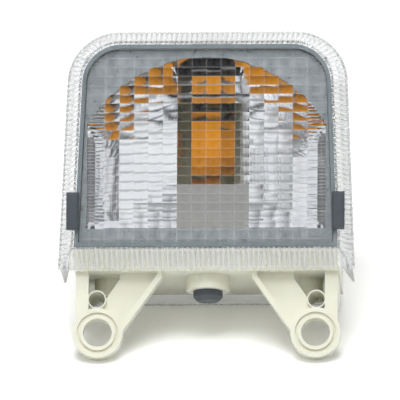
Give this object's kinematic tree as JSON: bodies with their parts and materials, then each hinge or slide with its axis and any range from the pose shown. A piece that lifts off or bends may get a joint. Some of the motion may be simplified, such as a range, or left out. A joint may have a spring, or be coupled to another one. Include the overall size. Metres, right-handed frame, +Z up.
{
  "type": "vehicle indicator lamp",
  "caption": "Clear indicator lamp for a vehicle: fluted lens with pillow optics over an arched reflector and amber bulb, on a cream housing with two eyed mounting legs.",
  "frame": {"origin": "midway between the two eye axes, on the front face of the eyes", "axes": "X to the right seen from the front, Y to the back, Z up; the lens faces -Y"},
  "size_m": [0.1496, 0.084, 0.1689],
  "materials": {
    "clear_lens": "clear, polished",
    "seal_grey": "matt",
    "bezel_grey": "satin",
    "bright_metal": "metallised",
    "screw_steel": "zinc plated",
    "cream_plastic": "satin",
    "dark_rubber": "matt",
    "amber_glass": "clear amber",
    "cap_brass": "nickel over brass",
    "black_glass": "gloss",
    "solder": "dull",
    "stem_glass": "clear",
    "filament_wire": "plain",
    "black_plastic": "satin",
    "terminal_brass": "plain"
  },
  "bodies": {
    "root": {"lens": "clear_lens", "rear_guard": "clear_lens", "lens_seal": "seal_grey", "bezel": "bezel_grey", "reflector": "bright_metal", "guard_screws": "screw_steel", "housing": "cream_plastic", "left_pad": "dark_rubber", "right_pad": "dark_rubber", "bottom_buffer": "dark_rubber", "bulb_glass": "amber_glass", "bulb_cap": "cap_brass", "bulb_insulator": "black_glass", "bulb_contact": "solder", "bulb_stem": "stem_glass", "bulb_filament": "filament_wire", "bulb_holder": "black_plastic", "socket_sleeve": "cap_brass", "contact_plunger": "cap_brass", "live_terminal": "terminal_brass", "earth_terminal": "terminal_brass", "holder_seal": "dark_rubber", "breather_cap": "dark_rubber"}
  },
  "joints": []
}
